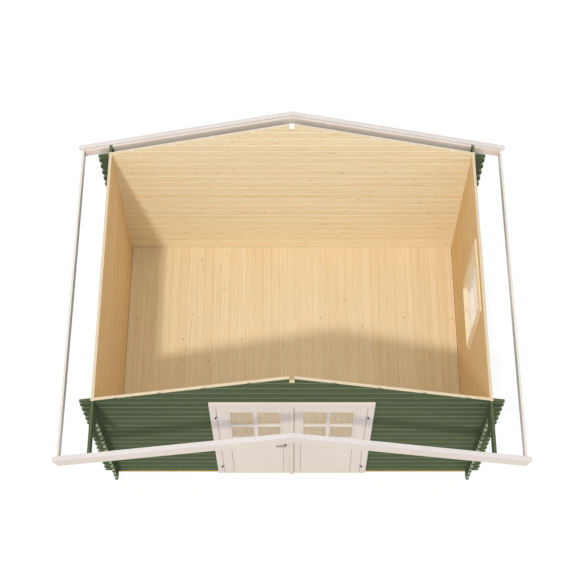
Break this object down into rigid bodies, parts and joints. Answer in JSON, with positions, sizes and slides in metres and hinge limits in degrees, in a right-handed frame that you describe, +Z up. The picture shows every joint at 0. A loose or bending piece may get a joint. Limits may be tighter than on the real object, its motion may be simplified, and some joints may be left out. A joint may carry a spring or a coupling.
{
  "type": "log cabin",
  "caption": "Garden log cabin with interlocking corner logs, gable ends, glazed double doors that open outward and a side window, shown with its roof deck off",
  "frame": {"origin": "ground level under the middle of the room, on the underside of the middle floor joist", "axes": "+X to the right seen from the doors, +Y to the back wall, +Z up"},
  "size_m": [4.433, 3.4552, 2.5855],
  "materials": {
    "log_wood": "green stain outside, bare spruce inside",
    "white_wood": "warm white paint",
    "plain_wood": "bare planed spruce",
    "floor_boards": "bare planed spruce boards",
    "bearer_wood": "impregnated softwood",
    "hardware": "polished",
    "glass": "clear float glass"
  },
  "bodies": {
    "cabin": {"back_gable_logs": "log_wood", "back_left_barge_board": "white_wood", "back_left_cap_strip": "white_wood", "back_ridge_log": "log_wood", "back_right_barge_board": "white_wood", "back_right_cap_strip": "white_wood", "back_roof_battens": "white_wood", "back_wall_logs": "log_wood", "door_frame": "white_wood", "door_inner_casing": "plain_wood", "door_stops": "white_wood", "floor": "floor_boards", "frame_hinge_pins": "hardware", "front_gable_logs": "log_wood", "front_left_barge_board": "white_wood", "front_left_cap_strip": "white_wood", "front_ridge_log": "log_wood", "front_right_barge_board": "white_wood", "front_right_cap_strip": "white_wood", "front_roof_battens": "white_wood", "front_wall_left_logs": "log_wood", "front_wall_right_logs": "log_wood", "ground_bearers": "bearer_wood", "left_eaves_board": "white_wood", "left_eaves_log": "log_wood", "left_wall_logs": "log_wood", "right_eaves_board": "white_wood", "right_eaves_log": "log_wood", "right_wall_logs": "log_wood", "window_glass": "glass", "window_inner_casing": "plain_wood", "window_lining": "plain_wood", "window_outer_casing": "white_wood", "window_sash": "white_wood"},
    "left_door": {"left_door_cover_strip": "white_wood", "left_door_glass": "glass", "left_door_handle": "hardware", "left_door_hinge_straps": "hardware", "left_door_leaf": "white_wood", "left_door_panel": "white_wood"},
    "right_door": {"right_door_glass": "glass", "right_door_hinge_straps": "hardware", "right_door_leaf": "white_wood", "right_door_panel": "white_wood"}
  },
  "joints": [
    {"name": "left_door_hinge", "type": "hinge", "parent": "cabin", "child": "left_door", "pos_m": [-0.735, -1.412, 1], "axis": [0, 0, -1], "range_deg": [0, 170]},
    {"name": "right_door_hinge", "type": "hinge", "parent": "cabin", "child": "right_door", "pos_m": [0.735, -1.412, 1], "axis": [0, 0, 1], "range_deg": [0, 170]}
  ]
}
